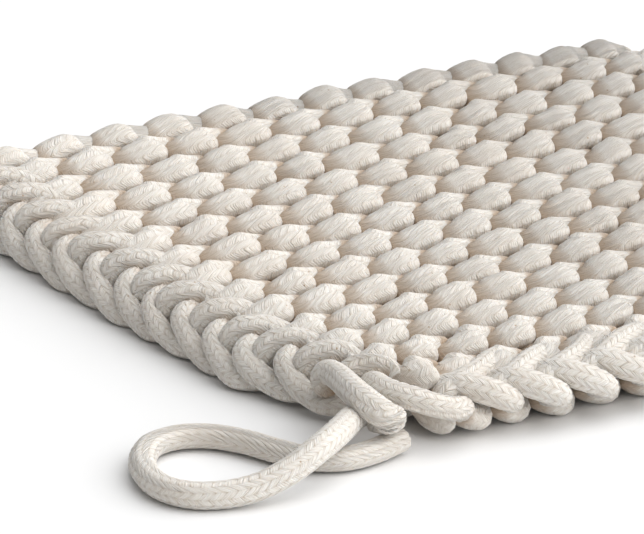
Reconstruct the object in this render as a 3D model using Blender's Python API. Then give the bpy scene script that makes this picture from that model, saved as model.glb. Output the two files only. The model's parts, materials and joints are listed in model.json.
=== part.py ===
"""Square pot holder knitted in garter stitch from one thick braided cotton cord.

Two pieces: the knitted panel, which lies flat on its underside, and the hanging loop, a bight of the
same cord that leaves the panel at its near left corner and goes back in under the near edge.
Metres, +Z up. +X runs along the bound-off edge and +Y from there to the cast-on edge. The origin is
below the middle of the panel, on the surface that it lies on.
"""

import math

import bmesh
import bpy
import numpy as np

# Knit
STITCH_WIDTH = 0.0140  # one stitch to the next along a row
RIDGE_PITCH = 0.0140  # one ridge (two rows) to the next
STITCH_COUNT = 14
RIDGE_COUNT = 13 + 1 / 3  # whole ridges and the strip that carries the bound-off chain
CORD_DIAMETER = 0.0056
THICKNESS = 0.0145  # over the stitches of both faces, about two and a half cords

# Relief of the stitches in a face
STEPS_PER_STITCH = 4
STEPS_PER_RIDGE = 3
TOP_RELIEF = 0.0046  # from the top of a stitch down to the deepest hole
UNDER_RELIEF = 0.0036
HOLE_SHARE = 0.85  # how much of the relief the hole beside a stitch takes
VALLEY_LEVEL = 0.42  # height of the strand between two ridges, as a share of the relief
STITCH_PHASE = 0.125  # puts two grid lines on each stitch, so that its top is a flat patch
RIDGE_PHASE = 1 / 6
UNDER_SHIFT = 1 / 3  # of a ridge: the ridges of the underside lie between those of the upper face
SHOULDER = 0.0016  # how far the outermost stitches sink towards the rim

# Rim, the side wall of the panel: bulge is for the plain wall, bump for the loops along it
RIM_CUTS = 3
RIM_BULGE = 0.0026
SIDE_BUMP = 0.0008  # turning loops along the two selvedges
CHAIN_BUMP = 0.0012  # bound-off chain along the near edge
CHAIN_BULGE = 0.0016
CORNER_POWER = 14  # the larger, the shorter the rounded corners

# Outline, as uneven as the knit pulls it
CORNER_INSET = 0.0040
LOOP_CORNER_INSET = 0.0035  # further drawn in where the loop is
LEFT_BOW = 0.0020
COLUMN_LEAN = 0.055  # sideways run of a column of stitches for each metre along it
LOOP_CORNER_LIFT = 0.0042  # the loop passes under that corner and holds it off the surface
LIFT_REACH = 0.055

# Hanging loop, from its entry in the near left corner, round the bight and back under the near edge
GAP = 0.0003
LOOP_ROUTE = (
    (-0.0930, -0.0868, 0.0084),
    (-0.0990, -0.0915, 0.0090),
    (-0.1072, -0.0985, 0.0094),
    (-0.1145, -0.1035, 0.0092),
    (-0.1225, -0.1055, 0.0066),
    (-0.1305, -0.1046, 0.0040),
    (-0.1385, -0.1020, 0.0031),
    (-0.1440, -0.0970, 0.0030),
    (-0.1455, -0.0890, 0.0030),
    (-0.1425, -0.0785, 0.0030),
    (-0.1360, -0.0706, 0.0030),
    (-0.1285, -0.0690, 0.0030),
    (-0.1222, -0.0722, 0.0030),
    (-0.1178, -0.0785, 0.0030),
    (-0.1148, -0.0862, 0.0030),
    (-0.1112, -0.0935, 0.0030),
    (-0.1050, -0.0975, 0.0030),
    (-0.0975, -0.0972, 0.0030),
    (-0.0890, -0.0945, 0.0032),
)
LOOP_STEP = 0.0045  # between the points of the tube
LOOP_SIDES_RESOLUTION = 3
SOCKET_LENGTH = 0.022  # stretch of each end that the panel makes room for

COTTON_COLOUR = (0.80, 0.75, 0.66, 1.0)
COTTON_ROUGHNESS = 0.92


def clear_scene():
    for item in list(bpy.data.objects):
        bpy.data.objects.remove(item, do_unlink=True)


def make_collection(name):
    collection = bpy.data.collections.new(name)
    bpy.context.scene.collection.children.link(collection)
    return collection


def cotton_material(name):
    material = bpy.data.materials.new(name)
    material.use_nodes = True
    shader = material.node_tree.nodes["Principled BSDF"]
    shader.inputs["Base Color"].default_value = COTTON_COLOUR
    shader.inputs["Roughness"].default_value = COTTON_ROUGHNESS
    shader.inputs["Metallic"].default_value = 0.0
    return material


def stitch_height(stitch, ridge):
    """Height share of the knit, 1 on a stitch and near 0 in the hole beside it."""
    on_ridge = 0.5 + 0.5 * np.cos(2 * math.pi * (ridge - RIDGE_PHASE))
    on_stitch = 0.5 + 0.5 * np.cos(2 * math.pi * (stitch - STITCH_PHASE))
    return on_ridge * (1 - HOLE_SHARE * (1 - on_stitch)) + (1 - on_ridge) * VALLEY_LEVEL


def flat_top_height():
    """Height share of the flat patch on a stitch, where the panel is at its full thickness."""
    return stitch_height(0.0, 0.0)


def slab_of_cells():
    """A slab over the unit square, gridded in steps of the knit, with RIM_CUTS loops round its wall."""
    slab = bmesh.new()
    bmesh.ops.create_grid(
        slab,
        x_segments=STITCH_COUNT * STEPS_PER_STITCH,
        y_segments=round(RIDGE_COUNT * STEPS_PER_RIDGE),
        size=1.0,
    )
    top = bmesh.ops.extrude_face_region(slab, geom=slab.faces[:])
    raised = [item for item in top["geom"] if isinstance(item, bmesh.types.BMVert)]
    bmesh.ops.translate(slab, verts=raised, vec=(0.0, 0.0, 1.0))
    upright = [e for e in slab.edges if abs(e.verts[0].co.z - e.verts[1].co.z) > 0.5]
    bmesh.ops.subdivide_edges(slab, edges=upright, cuts=RIM_CUTS, use_grid_fill=True)
    bmesh.ops.recalc_face_normals(slab, faces=slab.faces)
    mesh = bpy.data.meshes.new("knitted_panel")
    slab.to_mesh(mesh)
    slab.free()
    return mesh


def panel_points(across, along, level):
    """Where the slab's points (-1 to 1, -1 to 1, 0 to 1) lie in the knitted panel."""
    stitch = (across + 1) / 2 * STITCH_COUNT
    ridge = (along + 1) / 2 * RIDGE_COUNT

    # faces: full thickness over the stitches, less beside them
    thickest = flat_top_height()
    upper = THICKNESS - TOP_RELIEF * np.clip(thickest - stitch_height(stitch, ridge), 0, 1)
    lower = UNDER_RELIEF * np.clip(thickest - stitch_height(stitch, ridge + UNDER_SHIFT), 0, 1)
    at_rim = np.maximum(np.abs(across), np.abs(along)) > 1 - 1e-6
    upper = upper - SHOULDER * at_rim
    lower = lower + SHOULDER * at_rim
    z = lower + (upper - lower) * level

    # wall: it bulges between the faces, and its loops stand out by turns high and low
    facing_x = np.sign(across) * np.abs(across) ** (2 * CORNER_POWER)
    facing_y = np.sign(along) * np.abs(along) ** (2 * CORNER_POWER)
    length = np.maximum(np.hypot(facing_x, facing_y), 1e-9)
    facing_x, facing_y = facing_x / length, facing_y / length
    side, near = facing_x**4, np.clip(-facing_y, 0, 1) ** 4
    turn = np.cos(2 * math.pi * (ridge - RIDGE_PHASE)) * np.sign(level - 0.49)
    link = np.cos(2 * math.pi * (stitch - STITCH_PHASE)) * np.sign(level - 0.49)
    bulge = RIM_BULGE + SIDE_BUMP * turn * side + (CHAIN_BULGE + CHAIN_BUMP * link) * near
    out = at_rim * np.sin(math.pi * level) * bulge

    # outline: rounded corners, bowed left side, columns that lean between straight selvedges
    near_loop = (across < 0) * (along < 0) * LOOP_CORNER_INSET
    inset = (CORNER_INSET + near_loop) * np.abs(across * along) ** CORNER_POWER
    x = across * STITCH_COUNT * STITCH_WIDTH / 2 - np.sign(across) * inset
    y = along * RIDGE_COUNT * RIDGE_PITCH / 2 - np.sign(along) * inset
    x = x - LEFT_BOW * np.cos(math.pi * along / 2) * np.clip(-across, 0, 1) ** 4
    x = x + COLUMN_LEAN * y * (1 - across**4)
    x = x + out * facing_x
    y = y + out * facing_y

    # the corner over the hanging loop is held up
    to_corner = np.hypot(x + STITCH_COUNT * STITCH_WIDTH / 2, y + RIDGE_COUNT * RIDGE_PITCH / 2)
    z = z + LOOP_CORNER_LIFT * np.clip(1 - to_corner / LIFT_REACH, 0, 1) ** 2
    return np.stack([x, y, z], axis=1)


def make_panel(collection):
    mesh = slab_of_cells()
    slab = np.empty(len(mesh.vertices) * 3, dtype=np.float32)
    mesh.vertices.foreach_get("co", slab)
    across, along, level = slab.reshape(-1, 3).astype(float).T
    points = panel_points(across, along, level)
    low, high = points.min(axis=0), points.max(axis=0)
    points -= [(low[0] + high[0]) / 2, (low[1] + high[1]) / 2, low[2]]
    mesh.vertices.foreach_set("co", points.astype(np.float32).ravel())
    mesh.shade_smooth()
    mesh.update()
    mesh.materials.append(cotton_material("cotton_knit"))
    panel = bpy.data.objects.new("knitted_panel", mesh)
    collection.objects.link(panel)
    return panel


def smooth_route(points, step):
    """Points about step apart on a Catmull-Rom curve through the given points."""
    knots = np.array(points)
    knots = np.vstack([2 * knots[0] - knots[1], knots, 2 * knots[-1] - knots[-2]])
    shares = np.linspace(0, 1, 24, endpoint=False)[:, None]
    fine = []
    for before, here, there, after in zip(knots, knots[1:], knots[2:], knots[3:]):
        straight = there - before
        bend = 2 * before - 5 * here + 4 * there - after
        twist = 3 * here - before - 3 * there + after
        fine.append(here + 0.5 * (straight * shares + bend * shares**2 + twist * shares**3))
    fine = np.vstack([*fine, knots[-2]])
    lengths = np.concatenate([[0], np.cumsum(np.linalg.norm(np.diff(fine, axis=0), axis=1))])
    marks = np.linspace(0, lengths[-1], round(lengths[-1] / step) + 1)
    return np.stack([np.interp(marks, lengths, fine[:, axis]) for axis in range(3)], axis=1)


def make_tube(name, points, radius, collection):
    curve = bpy.data.curves.new(name, "CURVE")
    curve.dimensions = "3D"
    curve.bevel_depth = radius
    curve.bevel_resolution = LOOP_SIDES_RESOLUTION
    curve.use_fill_caps = True
    spline = curve.splines.new("POLY")
    spline.points.add(len(points) - 1)
    for point, place in zip(spline.points, points):
        point.co = (*place, 1.0)
    tube = bpy.data.objects.new(name, curve)
    collection.objects.link(tube)
    return tube


def mesh_from_tube(tube, collection):
    """The tube as a closed mesh object, in place of its curve."""
    evaluated = tube.evaluated_get(bpy.context.evaluated_depsgraph_get())
    mesh = bpy.data.meshes.new_from_object(evaluated)
    shell = bmesh.new()
    shell.from_mesh(mesh)
    bmesh.ops.remove_doubles(shell, verts=shell.verts, dist=1e-6)
    bmesh.ops.recalc_face_normals(shell, faces=shell.faces)
    shell.to_mesh(mesh)
    shell.free()
    solid = bpy.data.objects.new(f"{tube.name}_solid", mesh)
    solid.matrix_world = tube.matrix_world
    collection.objects.link(solid)
    bpy.data.objects.remove(tube, do_unlink=True)
    return solid


def cut_socket(panel, name, stretch, collection):
    """Room in the panel for one end of the loop. The stretch starts at the end that is inside."""
    inward = stretch[0] - stretch[1]
    stretch = stretch.copy()
    stretch[0] = stretch[0] + inward / np.linalg.norm(inward) * GAP
    tube = make_tube(name, stretch, CORD_DIAMETER / 2 + GAP, collection)
    cutter = mesh_from_tube(tube, collection)
    cutter.hide_render = True
    cutter.display_type = "WIRE"
    cut = panel.modifiers.new(name, "BOOLEAN")
    cut.operation = "DIFFERENCE"
    cut.solver = "EXACT"
    cut.object = cutter


def main():
    clear_scene()
    parts = make_collection("pot_holder")
    cutters = make_collection("cutters")
    panel = make_panel(parts)
    route = smooth_route(LOOP_ROUTE, LOOP_STEP)
    loop = make_tube("hanging_loop", route, CORD_DIAMETER / 2, parts)
    loop.data.materials.append(cotton_material("cotton_cord"))
    count = round(SOCKET_LENGTH / LOOP_STEP) + 1
    cut_socket(panel, "corner_socket", route[:count], cutters)
    cut_socket(panel, "edge_socket", route[::-1][:count], cutters)
    bpy.context.view_layer.update()


main()
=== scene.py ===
"""Looks of a pot holder knitted in garter stitch from thick braided cotton cord.

The knitted panel is one cord that runs back and forth. Each sub-assembly below sweeps its own
stretch of that cord, and every stretch of the panel takes the panel's shape from one class.
"""

import json
import logging
import math
from dataclasses import dataclass
from enum import Enum
from typing import Dict, List, Optional, Sequence, Tuple, Union

import bpy
import numpy as np
from mathutils import Vector
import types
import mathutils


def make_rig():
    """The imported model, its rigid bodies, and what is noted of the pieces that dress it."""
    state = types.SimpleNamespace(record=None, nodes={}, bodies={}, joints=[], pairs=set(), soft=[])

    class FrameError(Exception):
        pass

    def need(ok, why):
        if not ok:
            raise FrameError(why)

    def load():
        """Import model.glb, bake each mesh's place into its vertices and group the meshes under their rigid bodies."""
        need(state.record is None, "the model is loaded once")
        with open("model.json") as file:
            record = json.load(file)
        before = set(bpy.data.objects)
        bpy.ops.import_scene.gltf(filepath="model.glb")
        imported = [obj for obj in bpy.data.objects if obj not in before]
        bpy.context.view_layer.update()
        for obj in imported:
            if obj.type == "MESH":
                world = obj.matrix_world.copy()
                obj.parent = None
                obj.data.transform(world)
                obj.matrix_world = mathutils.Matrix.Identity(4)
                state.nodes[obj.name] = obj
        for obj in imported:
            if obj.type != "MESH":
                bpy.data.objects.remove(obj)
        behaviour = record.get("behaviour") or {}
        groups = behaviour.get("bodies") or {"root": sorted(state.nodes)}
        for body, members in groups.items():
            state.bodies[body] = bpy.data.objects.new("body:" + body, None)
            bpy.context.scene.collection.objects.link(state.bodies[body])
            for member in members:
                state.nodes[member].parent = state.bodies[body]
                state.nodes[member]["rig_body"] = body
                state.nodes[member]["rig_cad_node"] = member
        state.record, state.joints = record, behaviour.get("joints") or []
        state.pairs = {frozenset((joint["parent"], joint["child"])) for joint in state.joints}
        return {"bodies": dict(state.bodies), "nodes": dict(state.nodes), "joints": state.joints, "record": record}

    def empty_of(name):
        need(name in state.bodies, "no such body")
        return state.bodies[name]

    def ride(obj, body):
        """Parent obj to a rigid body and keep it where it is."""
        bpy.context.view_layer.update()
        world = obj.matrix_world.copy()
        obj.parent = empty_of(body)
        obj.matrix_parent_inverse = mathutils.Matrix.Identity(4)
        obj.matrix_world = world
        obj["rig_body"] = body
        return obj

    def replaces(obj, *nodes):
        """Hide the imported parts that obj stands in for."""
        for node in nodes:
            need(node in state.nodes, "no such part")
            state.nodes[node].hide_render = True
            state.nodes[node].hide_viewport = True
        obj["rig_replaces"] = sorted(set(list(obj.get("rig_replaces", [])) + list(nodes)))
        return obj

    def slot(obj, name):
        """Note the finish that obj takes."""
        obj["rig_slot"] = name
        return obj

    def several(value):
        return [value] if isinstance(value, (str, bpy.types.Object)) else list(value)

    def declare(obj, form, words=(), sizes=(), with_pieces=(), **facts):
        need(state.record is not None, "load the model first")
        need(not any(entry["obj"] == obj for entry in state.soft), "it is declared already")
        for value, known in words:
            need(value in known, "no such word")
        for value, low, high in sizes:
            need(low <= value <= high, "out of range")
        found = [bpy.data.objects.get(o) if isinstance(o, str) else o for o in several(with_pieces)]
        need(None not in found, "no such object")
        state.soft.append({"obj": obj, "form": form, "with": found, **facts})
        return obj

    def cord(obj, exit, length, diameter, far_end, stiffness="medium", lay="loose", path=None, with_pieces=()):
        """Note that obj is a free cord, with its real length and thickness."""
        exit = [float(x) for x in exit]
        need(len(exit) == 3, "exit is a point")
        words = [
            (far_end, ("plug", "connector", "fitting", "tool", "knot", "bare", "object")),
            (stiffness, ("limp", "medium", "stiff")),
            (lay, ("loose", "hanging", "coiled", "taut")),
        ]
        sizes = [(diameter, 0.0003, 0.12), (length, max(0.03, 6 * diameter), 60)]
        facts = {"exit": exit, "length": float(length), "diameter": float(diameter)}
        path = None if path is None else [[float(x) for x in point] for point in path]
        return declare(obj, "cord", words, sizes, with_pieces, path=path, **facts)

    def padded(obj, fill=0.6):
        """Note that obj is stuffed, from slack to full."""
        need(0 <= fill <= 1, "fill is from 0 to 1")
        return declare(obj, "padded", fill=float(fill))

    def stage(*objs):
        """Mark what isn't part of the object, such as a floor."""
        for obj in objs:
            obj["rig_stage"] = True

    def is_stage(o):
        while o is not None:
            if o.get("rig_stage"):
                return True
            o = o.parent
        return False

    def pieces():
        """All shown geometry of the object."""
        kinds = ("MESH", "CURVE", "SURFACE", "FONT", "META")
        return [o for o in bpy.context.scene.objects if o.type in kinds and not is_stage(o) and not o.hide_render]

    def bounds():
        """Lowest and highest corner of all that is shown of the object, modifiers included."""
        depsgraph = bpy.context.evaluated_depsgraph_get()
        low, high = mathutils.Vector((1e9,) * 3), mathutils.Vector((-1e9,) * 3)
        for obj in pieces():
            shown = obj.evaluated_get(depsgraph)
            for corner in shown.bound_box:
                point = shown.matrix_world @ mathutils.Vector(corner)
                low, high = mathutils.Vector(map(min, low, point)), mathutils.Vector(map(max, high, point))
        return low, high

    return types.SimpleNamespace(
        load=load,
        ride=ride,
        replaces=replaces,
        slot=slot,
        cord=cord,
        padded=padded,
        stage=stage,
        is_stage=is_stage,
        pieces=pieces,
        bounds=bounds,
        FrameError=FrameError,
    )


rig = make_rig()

LOG = logging.getLogger("pot_holder")

PHOTO_WIDTH = 644
SIZE_FILE = "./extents.json"
TABLE_GAP = 0.0001

# the hanging loop's route, in metres, as the part's source has it
LOOP_ROUTE = (
    (-0.0930, -0.0868, 0.0084),
    (-0.0990, -0.0915, 0.0090),
    (-0.1072, -0.0985, 0.0094),
    (-0.1145, -0.1035, 0.0092),
    (-0.1225, -0.1055, 0.0066),
    (-0.1305, -0.1046, 0.0040),
    (-0.1385, -0.1020, 0.0031),
    (-0.1440, -0.0970, 0.0030),
    (-0.1455, -0.0890, 0.0030),
    (-0.1425, -0.0785, 0.0030),
    (-0.1360, -0.0706, 0.0030),
    (-0.1285, -0.0690, 0.0030),
    (-0.1222, -0.0722, 0.0030),
    (-0.1178, -0.0785, 0.0030),
    (-0.1148, -0.0862, 0.0030),
    (-0.1112, -0.0935, 0.0030),
    (-0.1050, -0.0975, 0.0030),
    (-0.0975, -0.0972, 0.0030),
    (-0.0890, -0.0945, 0.0032),
)


class Slot(Enum):
    """The record's material slots."""

    KNIT = "cotton_knit"
    CORD = "cotton_cord"


class Side(Enum):
    """The face of the panel on which a row's near bumps lie."""

    UPPER = 1.0
    UNDER = -1.0


# ---------------------------------------------------------------- curves and tubes


def smooth_route(knots: Sequence[Sequence[float]], step: float) -> np.ndarray:
    """Points at even steps on a Catmull-Rom curve through the knots.

    Each span is 0.5 * (2b + (c-a)s + (2a-5b+4c-d)s^2 + (3b-a-3c+d)s^3) for the knots a, b, c, d
    round it and s from 0 to 1.

    Args:
        knots: points that the curve passes through, in metres.
        step: distance between the points that come back.

    Returns:
        The points, one to a row.
    """
    given = np.array(knots, dtype=float)
    padded = np.vstack([2 * given[0] - given[1], given, 2 * given[-1] - given[-2]])
    share = np.linspace(0, 1, 24, endpoint=False)[None, :, None]
    a, b, c, d = (padded[k : len(padded) - 3 + k][:, None, :] for k in range(4))
    cubic = (3 * b - a - 3 * c + d) * share**3
    spans = 0.5 * (2 * b + (c - a) * share + (2 * a - 5 * b + 4 * c - d) * share**2 + cubic)
    fine = np.vstack([spans.reshape(-1, 3), given[-1]])
    run = run_along(fine)
    even = np.linspace(0, run[-1], max(2, round(run[-1] / step) + 1))
    return np.stack([np.interp(even, run, fine[:, k]) for k in range(3)], axis=1)


def run_along(path: np.ndarray) -> np.ndarray:
    """Distance from a path's first point to each of its points."""
    return np.concatenate([[0.0], np.cumsum(np.linalg.norm(np.diff(path, axis=0), axis=1))])


def unit(vectors: np.ndarray) -> np.ndarray:
    """The vectors at length one."""
    return vectors / np.maximum(np.linalg.norm(vectors, axis=-1, keepdims=True), 1e-12)


def ease(share: np.ndarray) -> np.ndarray:
    """3s^2 - 2s^3, which goes smoothly from 0 to 1."""
    share = np.clip(share, 0, 1)
    return share * share * (3 - 2 * share)


@dataclass
class Sweep:
    """An oval section carried along a path.

    A point of the wall is path + side * width * cos(a) + crown * height * sin(a), where side is
    at right angles to the path and to up, crown is at right angles to both, and a goes round.
    """

    path: np.ndarray
    up: np.ndarray
    width: np.ndarray
    height: np.ndarray
    sides: int = 16

    def wall(self, relief: Optional[np.ndarray] = None) -> np.ndarray:
        """The wall's points on a grid of rings by sides.

        Args:
            relief: how far each point stands out from the plain oval, on the same grid.

        Returns:
            An array of rings by sides by 3.
        """
        along = unit(np.gradient(self.path, axis=0))
        side = unit(np.cross(along, np.broadcast_to(self.up, self.path.shape)))
        crown = np.cross(side, along)
        turn = np.arange(self.sides) / self.sides * 2 * math.pi
        outward = (
            side[:, None] * (self.width[:, None] * np.cos(turn))[..., None]
            + crown[:, None] * (self.height[:, None] * np.sin(turn))[..., None]
        )
        if relief is not None:
            outward = outward + unit(outward) * relief[..., None]
        return self.path[:, None] + outward

    def lengths(self) -> np.ndarray:
        """How far along the plain wall each of its points is, more on the outside of a bend.

        Each step is the step between the same side of two rings, measured along the path.
        """
        wall = self.wall()
        along = unit(np.diff(self.path, axis=0))
        steps = np.sum(np.diff(wall, axis=0) * along[:, None], axis=-1)
        return np.concatenate([np.zeros((1, self.sides)), np.cumsum(steps, axis=0)])


@dataclass
class Skein:
    """Walls of swept cord gathered into one mesh, with their lengths for the braid."""

    name: str

    def __post_init__(self) -> None:
        self.walls: List[np.ndarray] = []
        self.runs: List[np.ndarray] = []
        self.depths: List[np.ndarray] = []

    def add(self, wall: np.ndarray, run: np.ndarray, depth: Optional[np.ndarray] = None) -> None:
        """Takes one wall.

        Args:
            wall: its points, rings by sides by 3.
            run: the distance along the cord of each of its points, rings by sides.
            depth: how deep its points and its two poles lie among the stitches, from 0 to 1, which sets the painted
                shade.
        """
        self.walls.append(wall)
        self.runs.append(run)
        count = wall.shape[0] * wall.shape[1] + 2
        self.depths.append(np.zeros(count) if depth is None else depth)

    def add_braided(
        self,
        sweep: Sweep,
        shape: "PanelShape",
        cotton: "BraidedCotton",
        drawn: bool = True,
    ) -> None:
        """Takes a strand with its plaits raised in the mesh, placed on the panel.

        Args:
            sweep: the strand on the flat lattice.
            shape: the panel that it belongs to.
            cotton: the finish, for the size of its plaits.
            drawn: whether it follows the lattice, as PanelShape.place has it.
        """
        run = sweep.lengths() + 0.037 * len(self.walls)
        wall = sweep.wall(cotton.relief(run))
        self.add(shape.place(wall, drawn), run, shape.depth(wall))

    def wall_faces(self, rings: int, sides: int, first: int) -> Tuple[np.ndarray, np.ndarray]:
        """Corners of a wall's quads and of the fans that close its two ends.

        Args:
            rings: rings of the wall.
            sides: points in a ring.
            first: index of the wall's first point; its two poles follow its last.

        Returns:
            Quads, four to a row, and triangles, three to a row.
        """
        ring = np.arange(rings - 1)[:, None] * sides + first
        here = np.arange(sides)[None]
        there = (here + 1) % sides
        quads = np.stack([ring + here, ring + there, ring + sides + there, ring + sides + here], -1)
        start_pole = first + rings * sides
        last = first + (rings - 1) * sides
        start = np.stack([np.full(sides, start_pole), first + there[0], first + here[0]], -1)
        end = np.stack([np.full(sides, start_pole + 1), last + here[0], last + there[0]], -1)
        return quads.reshape(-1, 4), np.concatenate([start, end])

    def wall_map(self, run: np.ndarray) -> Tuple[np.ndarray, np.ndarray]:
        """The braid's map on those quads and triangles: distance along, and share round."""
        sides = run.shape[1]
        beside = np.roll(run, -1, axis=1)
        here = np.arange(sides) / sides
        there = here + 1 / sides
        along = np.stack([run[:-1], beside[:-1], beside[1:], run[1:]], -1)
        round_it = np.broadcast_to(np.stack([here, there, there, here], -1), along.shape)
        quads = np.stack([along, round_it], -1).reshape(-1, 4, 2)
        middle = (here + there) / 2
        first = np.stack([(run[0] + beside[0]) / 2, beside[0], run[0]], -1)
        last = np.stack([(run[-1] + beside[-1]) / 2, run[-1], beside[-1]], -1)
        start = np.stack([first, np.stack([middle, there, here], -1)], -1)
        end = np.stack([last, np.stack([middle, here, there], -1)], -1)
        return quads, np.concatenate([start, end])

    def build(self) -> bpy.types.Object:
        """Puts the walls into one mesh object at the origin.

        Returns:
            The object, linked to the scene, with a map named braid and an attribute named depth that masks the painted
            shade.
        """
        points, quads, fans, quad_maps, fan_maps = [], [], [], [], []
        first = 0
        for wall, run in zip(self.walls, self.runs):
            rings, sides = wall.shape[:2]
            poles = np.stack([wall[0].mean(axis=0), wall[-1].mean(axis=0)])
            points.append(np.concatenate([wall.reshape(-1, 3), poles]))
            wall_quads, wall_fans = self.wall_faces(rings, sides, first)
            quad_map, fan_map = self.wall_map(run)
            quads.append(wall_quads)
            fans.append(wall_fans)
            quad_maps.append(quad_map)
            fan_maps.append(fan_map)
            first += rings * sides + 2
        points, quads, fans = (np.concatenate(part) for part in (points, quads, fans))
        corners = np.concatenate([quads.ravel(), fans.ravel()]).astype(np.int32)
        starts = np.concatenate(
            [np.arange(len(quads)) * 4, len(quads) * 4 + np.arange(len(fans)) * 3]
        ).astype(np.int32)
        mesh = bpy.data.meshes.new(self.name)
        mesh.vertices.add(len(points))
        mesh.vertices.foreach_set("co", points.astype(np.float32).ravel())
        mesh.loops.add(len(corners))
        mesh.loops.foreach_set("vertex_index", corners)
        mesh.polygons.add(len(starts))
        mesh.polygons.foreach_set("loop_start", starts)
        braid = mesh.uv_layers.new(name="braid")
        flat_map = np.concatenate(
            [np.concatenate(quad_maps).reshape(-1, 2), np.concatenate(fan_maps).reshape(-1, 2)]
        )
        braid.data.foreach_set("uv", flat_map.astype(np.float32).ravel())
        deep = mesh.attributes.new("depth", "FLOAT", "POINT")
        deep.data.foreach_set("value", np.concatenate(self.depths).astype(np.float32))
        mesh.update(calc_edges=True)
        mesh.validate()
        mesh.shade_smooth()
        piece = bpy.data.objects.new(self.name, mesh)
        bpy.context.scene.collection.objects.link(piece)
        LOG.info("%s: %d triangles", self.name, len(quads) * 2 + len(fans))
        return piece


# ---------------------------------------------------------------- shader expressions


Value = Union["Wire", float]


class Wire:
    """A shader socket with arithmetic: an expression on wires adds its Math nodes."""

    def __init__(self, tree: bpy.types.NodeTree, socket: bpy.types.NodeSocket) -> None:
        self.tree = tree
        self.socket = socket

    def math(self, operation: str, *values: Value) -> "Wire":
        """One Math node on these values, this wire among them where the caller puts it."""
        node = self.tree.nodes.new("ShaderNodeMath")
        node.operation = operation
        for socket, value in zip(node.inputs, values):
            if isinstance(value, Wire):
                self.tree.links.new(value.socket, socket)
            else:
                socket.default_value = value
        return Wire(self.tree, node.outputs[0])

    def __add__(self, other: Value) -> "Wire":
        return self.math("ADD", self, other)

    def __radd__(self, other: Value) -> "Wire":
        return self.math("ADD", other, self)

    def __sub__(self, other: Value) -> "Wire":
        return self.math("SUBTRACT", self, other)

    def __rsub__(self, other: Value) -> "Wire":
        return self.math("SUBTRACT", other, self)

    def __mul__(self, other: Value) -> "Wire":
        return self.math("MULTIPLY", self, other)

    def __rmul__(self, other: Value) -> "Wire":
        return self.math("MULTIPLY", other, self)

    def __truediv__(self, other: Value) -> "Wire":
        return self.math("DIVIDE", self, other)

    def __rtruediv__(self, other: Value) -> "Wire":
        return self.math("DIVIDE", other, self)

    def __pow__(self, other: Value) -> "Wire":
        return self.math("POWER", self, other)

    def fraction(self) -> "Wire":
        """The part after the point."""
        return self.math("FRACT", self)

    def zigzag(self, reach: float) -> "Wire":
        """Goes up to reach and down to 0 again and again."""
        return self.math("PINGPONG", self, reach)

    def sine(self) -> "Wire":
        """The sine of an angle in radians."""
        return self.math("SINE", self)

    def hump(self) -> "Wire":
        """1 - (2f - 1)^2, a rounded ridge over each unit's fraction f."""
        across = self.fraction() * 2 - 1
        return 1 - across * across

    def between(self, low: float, high: float) -> "Wire":
        """0 below low and 1 above high, straight between them, and never outside 0 to 1."""
        node = self.tree.nodes.new("ShaderNodeMapRange")
        node.clamp = True
        self.tree.links.new(self.socket, node.inputs["Value"])
        node.inputs["From Min"].default_value = low
        node.inputs["From Max"].default_value = high
        return Wire(self.tree, node.outputs["Result"])


@dataclass
class Dye:
    """A material's node tree, with one method for every node that isn't Math."""

    name: str

    def __post_init__(self) -> None:
        self.material = bpy.data.materials.new(self.name)
        self.material.use_nodes = True
        self.tree = self.material.node_tree
        self.shader = self.tree.nodes["Principled BSDF"]

    def node(
        self,
        kind: str,
        settings: Optional[Dict[str, object]] = None,
        inputs: Optional[Dict[Union[str, int], object]] = None,
        output: Union[str, int] = 0,
    ) -> Wire:
        """Adds one node.

        Args:
            kind: the node's type.
            settings: its properties, set first.
            inputs: values or wires for its sockets, by name or number.
            output: the socket that comes back.

        Returns:
            The wire from that output.
        """
        node = self.tree.nodes.new(kind)
        for key, value in (settings or {}).items():
            setattr(node, key, value)
        for key, value in (inputs or {}).items():
            if isinstance(value, Wire):
                self.tree.links.new(value.socket, node.inputs[key])
            else:
                node.inputs[key].default_value = value
        return Wire(self.tree, node.outputs[output])

    def mix(self, share: Value, first: object, second: object) -> Wire:
        """A colour that goes from first to second as share goes from 0 to 1."""
        return self.node(
            "ShaderNodeMix",
            {"data_type": "RGBA"},
            {0: share, 6: first, 7: second},
            output=2,
        )

    def feed(self, socket: str, value: object) -> None:
        """Links or sets one socket of the shader."""
        if isinstance(value, Wire):
            self.tree.links.new(value.socket, self.shader.inputs[socket])
        else:
            self.shader.inputs[socket].default_value = value


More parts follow.
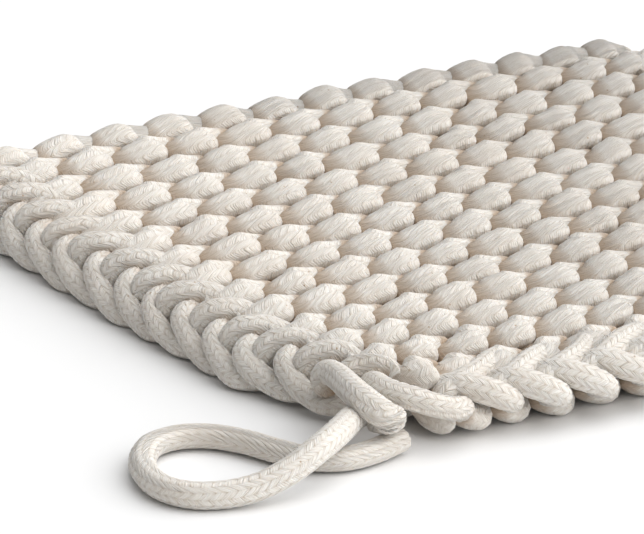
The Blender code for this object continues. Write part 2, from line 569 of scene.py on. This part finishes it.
@dataclass(frozen=True)
class BraidedCotton:
    """Undyed cotton cord: plaits in a herringbone, fine yarns, seed flecks and a soft nap, with shade painted into its
    dips and deep between its stitches.

    The plaits lie in bands along the cord. Across a band a plait runs on by slant pitches, and
    in the next band it runs back, so two bands make a row of chevrons.
    """

    name: str
    bands_round: int = 12
    plait_pitch: float = 0.0024
    slant: float = 0.75
    yarns_in_plait: int = 4
    mesh_relief: float = 0.00022
    plait_relief: float = 0.00022
    yarn_relief: float = 0.00015
    # the yarn, line and dip contrasts set how strongly painted shade darkens the gaps between yarns, the lines between
    # plaits and the dips at band edges
    yarn_contrast: float = 0.60
    line_contrast: float = 0.10
    dip_contrast: float = 0.55
    nap_size: float = 0.0003
    nap_relief: float = 0.00006
    raised: Tuple[float, float, float] = (0.87, 0.85, 0.81)
    warm: Tuple[float, float, float] = (0.86, 0.82, 0.765)
    # this tan is the painted shade in the dips between plaits and between yarns
    groove_shade: Tuple[float, float, float] = (0.56, 0.48, 0.39)
    # this brown is the painted shade deep between the stitches, laid on as the depth attribute rises from pit_start to
    # 1
    pit: Tuple[float, float, float] = (0.39, 0.25, 0.135)
    fleck: Tuple[float, float, float] = (0.42, 0.27, 0.14)
    pit_start: float = 0.38
    stray_size: float = 0.005
    stray_reach: float = 0.6
    patch_size: float = 0.03
    fleck_spacing: float = 0.0034
    fleck_size: float = 0.085
    fleck_patch_size: float = 0.009
    fleck_strength: float = 0.7
    roughness: float = 0.93
    sheen: float = 0.2
    soft_depth: float = 0.15
    light_reach: float = 0.0015

    def relief(self, run: np.ndarray) -> np.ndarray:
        """How far the plaits stand out at each ring and side.

        Each plait is 1 - (2f - 1)^2 over its fraction f, and lower where it dips at a band's edge.

        Args:
            run: distance along the cord, rings by sides.

        Returns:
            The relief in metres, rings by sides.
        """
        bands = np.arange(run.shape[1])[None] / run.shape[1] * self.bands_round
        lean = 1 - np.abs(bands % 2 - 1)
        plait = (run / self.plait_pitch + lean * self.slant) % 1
        ridge = 1 - (2 * plait - 1) ** 2
        across = 1 - (2 * (bands % 1) - 1) ** 2
        return self.mesh_relief * (ridge**0.7 * (0.25 + 0.75 * across**0.6) - 0.6)

    def dye(self) -> bpy.types.Material:
        """The material, read from the braid map, the depth attribute and Object coordinates."""
        dye = Dye(self.name)
        spot = dye.node("ShaderNodeTexCoord", output="Object")
        braid = dye.node("ShaderNodeUVMap", {"uv_map": "braid"})
        along = dye.node("ShaderNodeSeparateXYZ", inputs={0: braid}, output="X")
        round_it = dye.node("ShaderNodeSeparateXYZ", inputs={0: braid}, output="Y")
        deep = dye.node("ShaderNodeAttribute", {"attribute_name": "depth"}, output="Fac")

        # plaits lean one way and the other in turn round the cord
        stray = dye.node(
            "ShaderNodeTexNoise",
            {"noise_dimensions": "3D"},
            {"Vector": spot, "Scale": 1 / self.stray_size, "Detail": 1.0},
        )
        bands = round_it * self.bands_round
        wander = (stray - 0.5) * self.stray_reach
        plait = along / self.plait_pitch + bands.zigzag(1.0) * self.slant + wander
        ridge = plait.hump()
        across = bands.hump()
        lane = bands - bands.fraction()
        place = dye.node(
            "ShaderNodeCombineXYZ",
            inputs={"X": plait * (self.yarns_in_plait * 1.1), "Y": bands * 0.9, "Z": lane * 5.3},
        )
        strokes = dye.node(
            "ShaderNodeTexNoise",
            {"noise_dimensions": "3D"},
            {"Vector": place, "Scale": 1.0, "Detail": 2.0},
        )
        sines = (plait * (2 * math.pi * self.yarns_in_plait)).sine() * 0.5 + 0.5
        yarns = sines * 0.3 + strokes.between(0.32, 0.68) * 0.7
        nap = dye.node(
            "ShaderNodeTexNoise",
            {"noise_dimensions": "3D"},
            {"Vector": spot, "Scale": 1 / self.nap_size, "Detail": 2.0, "Roughness": 0.6},
        )
        swell = (ridge ** 0.7) * (across ** 0.6 * 0.75 + 0.25)
        height = swell * self.plait_relief + yarns * self.yarn_relief + nap * self.nap_relief
        bump = dye.node(
            "ShaderNodeBump",
            inputs={"Strength": 1.0, "Distance": 1.0, "Height": height},
        )

        # colour: cream plaits, with shade painted in tan where they dip and in brown deep between the stitches
        patch = dye.node(
            "ShaderNodeTexNoise",
            {"noise_dimensions": "3D"},
            {"Vector": spot, "Scale": 1 / self.patch_size, "Detail": 2.0},
        )
        cream = dye.mix(patch.between(0.35, 0.7), (*self.raised, 1), (*self.warm, 1))
        # painted shade: the dips at band edges, the lines between plaits and the gaps between yarns are darkened
        # towards the tan groove colour
        dip = (1 - ridge) * (1 - across)
        line = (1 - ridge) ** 3
        loose = (1 - yarns) * self.yarn_contrast
        sunk = dip * self.dip_contrast + line * self.line_contrast + loose
        shaded_plaits = dye.mix(sunk, cream, (*self.groove_shade, 1))
        # painted shade: brown deep among the stitches, by the depth attribute
        shadow = dye.mix(deep.between(self.pit_start, 1.0), shaded_plaits, (*self.pit, 1))
        seeds = dye.node(
            "ShaderNodeTexVoronoi",
            {"voronoi_dimensions": "3D", "feature": "F1"},
            {"Vector": spot, "Scale": 1 / self.fleck_spacing, "Randomness": 1.0},
            output="Distance",
        )
        sparse = dye.node(
            "ShaderNodeTexNoise",
            {"noise_dimensions": "3D"},
            {"Vector": spot, "Scale": 1 / self.fleck_patch_size, "Detail": 0.0},
        )
        seed = 1 - seeds.between(self.fleck_size * 0.6, self.fleck_size)
        speck = seed * sparse.between(0.5, 0.56)
        colour = dye.mix(speck * self.fleck_strength, shadow, (*self.fleck, 1))

        dye.feed("Base Color", colour)
        dye.feed("Normal", bump)
        dye.feed("Roughness", self.roughness)
        dye.feed("Sheen Weight", self.sheen)
        dye.feed("Sheen Roughness", 0.6)
        dye.feed("Specular IOR Level", 0.2)
        dye.feed("Subsurface Weight", self.soft_depth)
        dye.feed("Subsurface Radius", (1.0, 0.8, 0.6))
        dye.feed("Subsurface Scale", self.light_reach)
        return dye.material


@dataclass(frozen=True)
class PaleFloor:
    """A plain pale surface."""

    name: str = "pale_floor"
    colour: Tuple[float, float, float] = (0.90, 0.90, 0.90)

    def dye(self) -> bpy.types.Material:
        """The material, the same all over."""
        dye = Dye(self.name)
        dye.feed("Base Color", (*self.colour, 1))
        dye.feed("Roughness", 0.9)
        dye.feed("Specular IOR Level", 0.1)
        return dye.material


# ---------------------------------------------------------------- camera, floor and light


@dataclass
class Viewpoint:
    """The camera at the photograph's angle."""

    azimuth: float = -30.81
    elevation: float = 19.32
    distance: float = 1.2
    target: Tuple[float, float, float] = (-0.0636, -0.0194, 0.0145)
    focal_px: float = 5358.0
    sensor: float = 36.0

    def back(self) -> Vector:
        """The direction from the target to the camera."""
        around, rise = math.radians(self.azimuth), math.radians(self.elevation)
        level = math.cos(rise)
        return Vector((math.sin(around) * level, -math.cos(around) * level, math.sin(rise)))

    def build(self) -> bpy.types.Object:
        """Creates the camera and makes it the scene's own."""
        lens = bpy.data.cameras.new("viewpoint")
        lens.sensor_width = self.sensor
        lens.lens = self.focal_px * self.sensor / PHOTO_WIDTH
        lens.clip_start = 0.01
        lens.clip_end = 50.0
        camera = bpy.data.objects.new("viewpoint", lens)
        bpy.context.scene.collection.objects.link(camera)
        camera.location = Vector(self.target) + self.back() * self.distance
        camera.rotation_euler = self.back().to_track_quat("Z", "Y").to_euler()
        bpy.context.scene.camera = camera
        return camera


@dataclass
class Studio:
    """A pale floor, a soft lamp from the near right, and air that is brighter on its side."""

    floor_half: float = 3.0
    lamp_azimuth: float = 56.0
    lamp_elevation: float = 45.0
    lamp_power: float = 1.32
    lamp_softness: float = 110.0
    air_beside_lamp: float = 1.82

    def lay_floor(self) -> bpy.types.Object:
        """The floor, a level sheet just under the object."""
        reach = self.floor_half
        mesh = bpy.data.meshes.new("floor")
        corners = [(-reach, -reach, 0), (reach, -reach, 0), (reach, reach, 0), (-reach, reach, 0)]
        mesh.from_pydata(corners, [], [(0, 1, 2, 3)])
        mesh.materials.append(PaleFloor().dye())
        floor = bpy.data.objects.new("floor", mesh)
        bpy.context.scene.collection.objects.link(floor)
        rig.stage(floor)
        return floor

    def towards_lamp(self) -> Vector:
        """The direction of the lamp from the object."""
        around, rise = math.radians(self.lamp_azimuth), math.radians(self.lamp_elevation)
        level = math.cos(rise)
        return Vector((math.sin(around) * level, -math.cos(around) * level, math.sin(rise)))

    def hang_lamp(self) -> bpy.types.Object:
        """A wide sun lamp from the given direction."""
        light = bpy.data.lights.new("soft_lamp", "SUN")
        light.energy = self.lamp_power
        light.angle = math.radians(self.lamp_softness)
        lamp = bpy.data.objects.new("soft_lamp", light)
        bpy.context.scene.collection.objects.link(lamp)
        lamp.rotation_euler = self.towards_lamp().to_track_quat("Z", "Y").to_euler()
        return lamp

    def fill_air(self) -> None:
        """Light from everywhere, as the cube of (1 + cosine of the angle from the lamp) / 2."""
        world = bpy.data.worlds.new("pale_air")
        world.use_nodes = True
        tree = world.node_tree
        spot = tree.nodes.new("ShaderNodeTexCoord")
        facing = tree.nodes.new("ShaderNodeVectorMath")
        facing.operation = "DOT_PRODUCT"
        tree.links.new(spot.outputs["Generated"], facing.inputs[0])
        facing.inputs[1].default_value = self.towards_lamp()
        share = Wire(tree, facing.outputs["Value"]).between(-1.0, 1.0)
        strength = share * share * share * self.air_beside_lamp
        background = tree.nodes["Background"]
        background.inputs["Color"].default_value = (1.0, 1.0, 1.0, 1.0)
        tree.links.new(strength.socket, background.inputs["Strength"])
        bpy.context.scene.world = world

    def build(self) -> None:
        """Floor, lamp and air, shown without a film's tone curve."""
        bpy.context.scene.view_settings.view_transform = "Standard"
        self.lay_floor()
        self.hang_lamp()
        self.fill_air()


# ---------------------------------------------------------------- the knitted panel


@dataclass
class PanelShape:
    """How the flat lattice of stitches lies: drawn in, leaning, bowed and held up at a corner."""

    half_x: float = 0.098
    half_y: float = 0.09333
    thickness: float = 0.0145
    drawn_x: Tuple[float, float, float, float] = (-0.00069, -0.00137, 0.00129, 0.0052)
    drawn_y: Tuple[float, float, float, float] = (-0.0011, 0.00064, -0.00176, 0.00486)
    last_rows_draw: float = 0.08
    last_rows_centre: float = -0.060
    column_lean: float = 0.055
    left_bow: float = 0.0015
    corner_inset: float = 0.0040
    loop_corner_draw: float = 0.0050
    corner_power: int = 14
    corner_lift: float = 0.0042
    lift_reach: float = 0.055
    uneven_reach: float = 0.0005
    uneven_step: float = 0.011
    seed: int = 7

    def unevenness(self, points: np.ndarray) -> np.ndarray:
        """A smooth random shift: values on a lattice of uneven_step, eased between its knots."""
        rng = np.random.default_rng(self.seed)
        cells = 24
        knots = rng.normal(size=(cells, cells, 4, 3))
        place = points / self.uneven_step + np.array([cells / 2, cells / 2, 1.0])
        place = np.clip(place, 0, np.array([cells, cells, 4]) - 1.001)
        low = np.floor(place).astype(int)
        share = ease(place - low)
        total = np.zeros_like(points)
        for i in range(2):
            for j in range(2):
                for k in range(2):
                    weight = (
                        (share[:, 0] if i else 1 - share[:, 0])
                        * (share[:, 1] if j else 1 - share[:, 1])
                        * (share[:, 2] if k else 1 - share[:, 2])
                    )
                    knot = knots[low[:, 0] + i, low[:, 1] + j, low[:, 2] + k]
                    total += weight[:, None] * knot
        return total * self.uneven_reach * np.array([1.0, 1.0, 0.5])

    def drawn(self, points: np.ndarray) -> np.ndarray:
        """Where the knitter's tension draws the lattice: narrower near, wider far, in x and y.

        The shift in x is a + b X + c Y + d X Y with drawn_x, and in y it is a + b X + c Y + d Y^2
        with drawn_y, X and Y being from -1 to 1. Towards the right selvedge both fade, and the
        last rows are drawn in more.
        """
        across = np.clip(points[:, 0] / self.half_x, -1.05, 1.05)
        along = np.clip(points[:, 1] / self.half_y, -1.05, 1.05)
        fade = 1 - 0.85 * ease((across - 0.35) / 0.65)
        last = ease((-along - 0.75) / 0.25)
        a, b, c, d = self.drawn_x
        x = a + b * across + c * along + d * across * along
        x = x - self.last_rows_draw * last * (points[:, 0] - self.last_rows_centre)
        a, b, c, d = self.drawn_y
        y = a + b * across + c * along + d * along**2
        rim = 1 - np.clip(-points[:, 1] / 0.100, 0, 1) ** 8
        return np.stack([x * fade, y * rim * (0.4 + 0.6 * fade), np.zeros_like(x)], axis=1)

    def place(self, wall: np.ndarray, drawn: bool = True) -> np.ndarray:
        """Moves points from the flat lattice to where the panel has them.

        Args:
            wall: points in metres, in any shape that ends in 3.
            drawn: whether they belong to the lattice, rather than to a strand laid over it.

        Returns:
            The moved points, in the same shape, none below the table.
        """
        points = wall.reshape(-1, 3).copy()
        points += self.unevenness(points)
        if drawn:
            across = points[:, 0] / self.half_x
            along = points[:, 1] / self.half_y
            shift = self.drawn(points)
            corner = np.minimum(np.abs(across * along), 1.03) ** self.corner_power
            bow = np.cos(math.pi * np.clip(along, -1, 1) / 2) * np.clip(-across, 0, 1) ** 4
            near = ease((-points[:, 1] - 0.040) / 0.032) * np.clip(-across, 0, 1) ** 4
            lean = self.column_lean * points[:, 1] * (1 - np.clip(across, -1, 1) ** 4)
            inset = self.corner_inset * corner
            points += shift
            points[:, 0] += lean - self.left_bow * bow + self.loop_corner_draw * near
            points[:, 0] -= np.sign(across) * inset
            points[:, 1] -= np.sign(along) * inset
        to_corner = np.hypot(points[:, 0] + self.half_x, points[:, 1] + self.half_y)
        rise = np.clip(1 - to_corner / self.lift_reach, 0, 1) ** 2
        points[:, 2] += self.corner_lift * rise * (1.0 if drawn else 0.0)
        points[:, 2] = np.maximum(points[:, 2], TABLE_GAP)
        return points.reshape(wall.shape)

    def depth(self, wall: np.ndarray) -> np.ndarray:
        """How deep a wall and its poles lie, 0 on the faces and the rim and 1 in the heart, which masks the shade
        painted deep between the stitches.
        """
        points = np.concatenate([wall.reshape(-1, 3), wall[[0, -1], 0]])
        from_face = 1 - np.abs(points[:, 2] - self.thickness / 2) / (self.thickness / 2)
        from_side = (self.half_x + 0.002 - np.abs(points[:, 0])) / 0.007
        from_end = (self.half_y + 0.002 - np.abs(points[:, 1])) / 0.007
        return np.clip(np.minimum(from_face * 1.35, np.minimum(from_side, from_end)), 0, 1)


@dataclass
class GarterCord:
    """The rows of the cord.

    In a row the cord is at x = pitch * t / 2pi + spread * sin 2t, y = row - reach * w and
    z = side * (skew + rise * w + skew * cos 2t + tilt * sin 2t), t growing by 2pi a stitch and w
    being tanh(squareness * cos t) / tanh(squareness), so that its near bumps, at t = 0, lie on
    one face and its far bumps, at t = pi, sink into the other. The far edge holds y to
    limit - softness * ln(1 + e^((limit - y) / softness)).
    """

    shape: PanelShape
    stitches: int = 14
    rows: int = 26
    pitch: float = 0.014
    course: float = 0.007
    first_row: float = -0.0891
    shift: float = -0.0023
    reach: float = 0.0066
    far_reach: float = 0.0046
    first_reach: float = 0.0040
    squareness: float = 2.4
    spread: float = 0.0012
    tilt: float = 0.0006
    near_rise: float = 0.00410
    far_rise: float = 0.00270
    last_rise: float = 0.0034
    near_fat: float = 0.00440
    far_fat: float = 0.00340
    slim: float = 0.0028
    flatness: float = 0.72
    far_limit: float = 0.0928
    limit_softness: float = 0.0010
    under_start: float = 0.5
    upper_start: float = 0.68
    under_past: float = 0.1
    upper_short: float = 0.25
    # how deep the painted shade in the pits goes at a bump's right end and by the selvedges
    right_end_depth: float = 0.8
    rim_depth: float = 0.2
    rim_width: float = 0.014
    rings_a_stitch: int = 34
    sides: int = 16
    pieces: int = 3
    seed: int = 11

    def row_side(self, row: int) -> Side:
        """Rows knitted by turns from the two faces."""
        return Side.UNDER if row % 2 == 0 else Side.UPPER

    def row_phase(self, row: int) -> np.ndarray:
        """The phase t of each ring of a row, from left to right."""
        under = self.row_side(row) is Side.UNDER
        first = self.under_start if under else self.upper_start
        last = self.stitches + self.under_past if under else self.stitches - self.upper_short
        count = int((last - first) * self.rings_a_stitch) + 1
        return np.linspace(first, last, count) * 2 * math.pi

    def row_sweep(self, row: int) -> Sweep:
        """One row's cord, from left to right."""
        rng = np.random.default_rng(self.seed + row)
        side = self.row_side(row)
        phase = self.row_phase(row)
        near_rise = self.last_rise if row == 1 else self.near_rise
        rise = (near_rise + self.far_rise) / 2
        skew = (near_rise - self.far_rise) / 4
        lean = np.tanh(self.squareness * np.cos(phase)) / math.tanh(self.squareness)
        reach = np.where(lean > 0, self.first_reach if row == 0 else self.reach, self.far_reach)
        y = self.first_row + row * self.course - reach * lean
        short = (self.far_limit - y) / self.limit_softness
        path = np.stack(
            [
                -self.shape.half_x
                + self.shift
                + self.pitch * phase / (2 * math.pi)
                + self.spread * np.sin(2 * phase),
                self.far_limit - self.limit_softness * np.logaddexp(0.0, short),
                self.shape.thickness / 2
                + side.value
                * (skew + rise * lean + skew * np.cos(2 * phase) + self.tilt * np.sin(2 * phase)),
            ],
            axis=1,
        )
        bumps = np.arange(self.stitches + 1) * 2 * math.pi
        pull = np.interp(phase, bumps, rng.normal(1, 0.05, self.stitches + 1))
        near = (self.near_fat - self.slim) * np.clip(lean, 0, 1)
        far = (self.far_fat - self.slim) * np.clip(-lean, 0, 1)
        width = (self.slim + near + far) * pull
        height = width * (1 - (1 - self.flatness) * np.clip(lean, 0, 1))
        return Sweep(path, np.array([0.0, 0.0, 1.0]), width, height, self.sides)

    def depth(self, row: int) -> np.ndarray:
        """How deep a row's wall and its two poles lie among the stitches, which masks the shade painted into the pits.

        It is the larger of -sin t, which is 1 where a bump rises from the pit on its left, and
        -right_end_depth * cos 2t, for the short way down on its right. It fades to rim_depth of
        that over rim_width by the selvedges.
        """
        phase = self.row_phase(row)
        down = -self.right_end_depth * np.cos(2 * phase)
        share = np.clip(np.maximum(-np.sin(phase), down), 0, 1)
        x = self.row_sweep(row).path[:, 0]
        inside = np.clip((self.shape.half_x - np.abs(x)) / self.rim_width, 0, 1)
        share = share * (self.rim_depth + (1 - self.rim_depth) * inside)
        return np.concatenate([np.repeat(share, self.sides), share[[0, -1]]])

    def add_row(self, skein: Skein, row: int) -> None:
        """Puts one row on the panel."""
        sweep = self.row_sweep(row)
        skein.add(self.shape.place(sweep.wall()), sweep.lengths() + row * 0.0373, self.depth(row))

    def build(self) -> List[bpy.types.Object]:
        """The rows in a few pieces."""
        made = []
        edges = np.linspace(0, self.rows, self.pieces + 1).round().astype(int)
        for number, (first, last) in enumerate(zip(edges[:-1], edges[1:])):
            skein = Skein(f"knitted_rows_{number + 1}")
            for row in range(int(first), int(last)):
                self.add_row(skein, row)
            made.append(skein.build())
        return made


@dataclass(frozen=True)
class Strand:
    """A stretch of cord through knots, fat in the middle and slimmer at its ends, with plaits."""

    knots: Tuple[Tuple[float, float, float], ...]
    up: Tuple[float, float, float]
    fat: float
    start_fat: float
    end_fat: float
    fullness: float = 0.5
    flatness: float = 0.95
    step: float = 0.0006
    sides: int = 48

    def sweep(self, move: Sequence[float], mirror: bool = False) -> Sweep:
        """The strand moved to its place.

        Args:
            move: what is added to every knot.
            mirror: whether it lies on the right instead, at the opposite x.

        Returns:
            Its sweep.
        """
        route = np.array(self.knots) + np.array(move)
        up = np.array(self.up)
        if mirror:
            route = route * np.array([-1.0, 1.0, 1.0])
            up = up * np.array([-1.0, 1.0, 1.0])
        path = smooth_route(route, self.step)
        share = np.linspace(0, 1, len(path))
        ends = self.start_fat + (self.end_fat - self.start_fat) * share
        width = ends + (self.fat - ends) * np.sin(math.pi * share) ** self.fullness
        return Sweep(path, up, width, width * self.flatness, self.sides)


@dataclass
class Selvedge:
    """A side edge: at each ridge a fat strand over the shoulder and a slim one down the side."""

    shape: PanelShape
    cotton: "BraidedCotton"
    ridge: float = 0.01335
    first: float = -0.0806
    count: int = 13
    edge: float = -0.0985
    drift: float = 0.0003
    over: Strand = Strand(
        knots=(
            (0.0020, 0.0052, 0.0050),
            (-0.0002, 0.0050, 0.0076),
            (-0.0004, 0.0046, 0.0098),
            (0.0011, 0.0034, 0.0113),
            (0.0030, 0.0016, 0.0118),
            (0.0055, 0.0000, 0.0118),
            (0.0080, -0.0021, 0.0111),
            (0.0102, -0.0040, 0.0090),
            (0.0116, -0.0050, 0.0062),
        ),
        up=(-0.6, 0.4, 0.7),
        fat=0.0031,
        start_fat=0.0026,
        end_fat=0.0024,
    )
    down: Strand = Strand(
        knots=(
            (0.0040, 0.0112, 0.0074),
            (0.0021, 0.0114, 0.0091),
            (-0.0005, 0.0106, 0.0094),
            (-0.0029, 0.0087, 0.0085),
            (-0.0037, 0.0057, 0.0066),
            (-0.0040, 0.0021, 0.0047),
            (-0.0039, -0.0017, 0.0034),
            (-0.0036, -0.0052, 0.0029),
            (-0.0018, -0.0085, 0.0030),
            (0.0018, -0.0105, 0.0033),
        ),
        up=(-1.0, 0.1, 0.2),
        fat=0.0026,
        start_fat=0.0018,
        end_fat=0.0031,
    )

    def build(self, mirror: bool) -> bpy.types.Object:
        """One selvedge in one piece, the left one or its mirror image."""
        skein = Skein("right_selvedge" if mirror else "left_selvedge")
        for number in range(self.count):
            x = self.edge + number * self.drift
            y = self.first + number * self.ridge
            strands = (self.over, self.down) if number or mirror else (self.over,)
            for strand in strands:
                sweep = strand.sweep((x, y, 0.0), mirror)
                skein.add_braided(sweep, self.shape, self.cotton)
        return skein.build()


@dataclass
class CastOnEdge:
    """The far edge: the two rows that the cord was cast on in, held in line by the edge."""

    cord: GarterCord

    def build(self) -> bpy.types.Object:
        """The edge in one piece."""
        skein = Skein("cast_on_edge")
        for row in (self.cord.rows, self.cord.rows + 1):
            self.cord.add_row(skein, row)
        return skein.build()


@dataclass
class BoundOffChain:
    """The near edge: a chain of links, each with a limb over the panel and one over the rim."""

    shape: PanelShape
    cotton: "BraidedCotton"
    stitches: int = 14
    pitch: float = 0.014
    shift: float = 0.0056
    edge: float = -0.0933
    sag: float = 0.0035
    crowd: float = 0.0014
    settles_over: float = 1.5
    inner: Strand = Strand(
        knots=(
            (-0.0040, -0.0918, 0.0088),
            (-0.0016, -0.0914, 0.0110),
            (0.0038, -0.0898, 0.0120),
            (0.0108, -0.0856, 0.0121),
            (0.0160, -0.0812, 0.0110),
            (0.0176, -0.0794, 0.0086),
            (0.0180, -0.0786, 0.0060),
        ),
        up=(-0.3, 0.3, 1.0),
        fat=0.0030,
        start_fat=0.0022,
        end_fat=0.0022,
    )
    outer: Strand = Strand(
        knots=(
            (-0.0026, -0.0880, 0.0062),
            (-0.0020, -0.0878, 0.0095),
            (-0.0004, -0.0906, 0.0115),
            (0.0027, -0.0937, 0.0114),
            (0.0060, -0.0962, 0.0103),
            (0.0090, -0.0973, 0.0089),
            (0.0109, -0.0966, 0.0076),
            (0.0112, -0.0942, 0.0064),
            (0.0102, -0.0912, 0.0056),
        ),
        up=(0.3, -0.6, 0.8),
        fat=0.0031,
        start_fat=0.0019,
        end_fat=0.0019,
        fullness=0.8,
    )
    first: Strand = Strand(
        knots=(
            (-0.0862, -0.0770, 0.0088),
            (-0.0875, -0.0802, 0.0114),
            (-0.0897, -0.0890, 0.0126),
            (-0.0885, -0.0944, 0.0124),
            (-0.0847, -0.0978, 0.0112),
            (-0.0795, -0.0982, 0.0096),
            (-0.0756, -0.0964, 0.0085),
            (-0.0738, -0.0935, 0.0064),
        ),
        up=(-0.3, -0.2, 1.0),
        fat=0.0028,
        start_fat=0.0024,
        end_fat=0.0026,
    )

    def build(self) -> bpy.types.Object:
        """The chain in one piece."""
        skein = Skein("bound_off_chain")
        skein.add_braided(self.first.sweep((0.0, 0.0, 0.0)), self.shape, self.cotton, drawn=False)
        for link in range(1, self.stitches):
            start = -self.shape.half_x + self.shift + link * self.pitch
            nominal = np.array([[start, self.edge, 0.0]])
            x = float((nominal + self.shape.drawn(nominal))[0, 0])
            settled = float(ease(np.array((link - 1) / self.settles_over)))
            x -= self.crowd * settled
            y = -self.sag * settled
            for strand in (self.inner, self.outer):
                skein.add_braided(strand.sweep((x, y, 0.0)), self.shape, self.cotton, drawn=False)
        return skein.build()


@dataclass
class CornerStrand:
    """The cord drawn through the last stitch: a thick strand over the start of the chain."""

    shape: PanelShape
    cotton: "BraidedCotton"
    strand: Strand = Strand(
        knots=(
            (-0.0930, -0.0712, 0.0080),
            (-0.0946, -0.0718, 0.0110),
            (-0.0945, -0.0750, 0.0130),
            (-0.0974, -0.0882, 0.0138),
            (-0.0976, -0.0940, 0.0133),
            (-0.0962, -0.0982, 0.0118),
            (-0.0940, -0.0992, 0.0101),
            (-0.0936, -0.0964, 0.0087),
            (-0.0938, -0.0925, 0.0080),
        ),
        up=(-0.5, 0.2, 0.9),
        fat=0.0030,
        start_fat=0.0027,
        end_fat=0.0030,
    )

    def build(self) -> bpy.types.Object:
        """The strand in one piece."""
        skein = Skein("corner_strand")
        skein.add_braided(self.strand.sweep((0.0, 0.0, 0.0)), self.shape, self.cotton, drawn=False)
        return skein.build()


@dataclass
class HangingLoop:
    """The bight of cord at the near left corner."""

    cotton: "BraidedCotton"
    diameter: float = 0.0056
    fullness: float = 1.04
    lying_flat: float = 0.12
    lying_from: float = 0.32
    lying_over: float = 0.2
    step: float = 0.0004
    sides: int = 96

    def build(self) -> Tuple[bpy.types.Object, np.ndarray]:
        """The loop and the points of the centreline that it follows."""
        path = smooth_route(LOOP_ROUTE, self.step)
        run = run_along(path)
        lying = ease((run / run[-1] - self.lying_from) / self.lying_over)
        width = np.full(len(path), self.diameter / 2 * self.fullness)
        height = self.diameter / 2 * (self.fullness - self.lying_flat * lying)
        sweep = Sweep(path, np.array([0.0, 0.0, 1.0]), width, height, self.sides)
        surface_run = sweep.lengths()
        wall = sweep.wall(self.cotton.relief(surface_run))
        wall[..., 2] = np.maximum(wall[..., 2], TABLE_GAP)
        skein = Skein("cord_loop")
        skein.add(wall, surface_run)
        return skein.build(), path


# ---------------------------------------------------------------- the whole


def fit(piece: bpy.types.Object, material: bpy.types.Material, slot: Slot, node: str) -> None:
    """Dresses a piece, lets it ride on the object's one body and stand for its node."""
    piece.data.materials.append(material)
    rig.ride(piece, "root")
    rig.slot(piece, slot.value)
    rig.replaces(piece, node)


def main() -> None:
    """Builds the scene: camera, loop, studio, then the knitted panel's parts."""
    logging.basicConfig(level=logging.INFO, format="%(message)s")
    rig.load()
    cad_box = [list(corner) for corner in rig.bounds()]
    Viewpoint().build()

    cord_cotton = BraidedCotton("braided_cotton_cord")
    loop, line = HangingLoop(cord_cotton).build()
    fit(loop, cord_cotton.dye(), Slot.CORD, "hanging_loop")
    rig.cord(
        loop,
        exit=line[0],
        length=float(run_along(line)[-1]),
        diameter=0.0056,
        far_end="object",
        stiffness="medium",
        lay="loose",
        path=line[::8],
    )

    Studio().build()
    knit_cotton = BraidedCotton(
        "braided_cotton_knit",
        plait_relief=0.00012,
        yarn_relief=0.00016,
        line_contrast=0.04,
        dip_contrast=0.4,
        nap_relief=0.00010,
    )
    edge_cotton = BraidedCotton("braided_cotton_edge", yarn_relief=0.00018, nap_relief=0.00008)
    shape = PanelShape()
    cord = GarterCord(shape)
    knit_dye, edge_dye = knit_cotton.dye(), edge_cotton.dye()
    dressed = [(part, knit_dye) for part in cord.build() + [CastOnEdge(cord).build()]]
    dressed += [(Selvedge(shape, edge_cotton).build(mirror), edge_dye) for mirror in (False, True)]
    dressed.append((BoundOffChain(shape, edge_cotton).build(), edge_dye))
    dressed.append((CornerStrand(shape, edge_cotton).build(), edge_dye))
    for part, dye in dressed:
        fit(part, dye, Slot.KNIT, "knitted_panel")
        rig.padded(part, fill=0.8)
        LOG.info("%s rides on root", part.name)

    bpy.context.view_layer.update()
    scene_box = [list(corner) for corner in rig.bounds()]
    with open(SIZE_FILE, "w") as file:
        json.dump({"cad": cad_box, "scene": scene_box}, file)


if __name__ == "__main__":
    main()
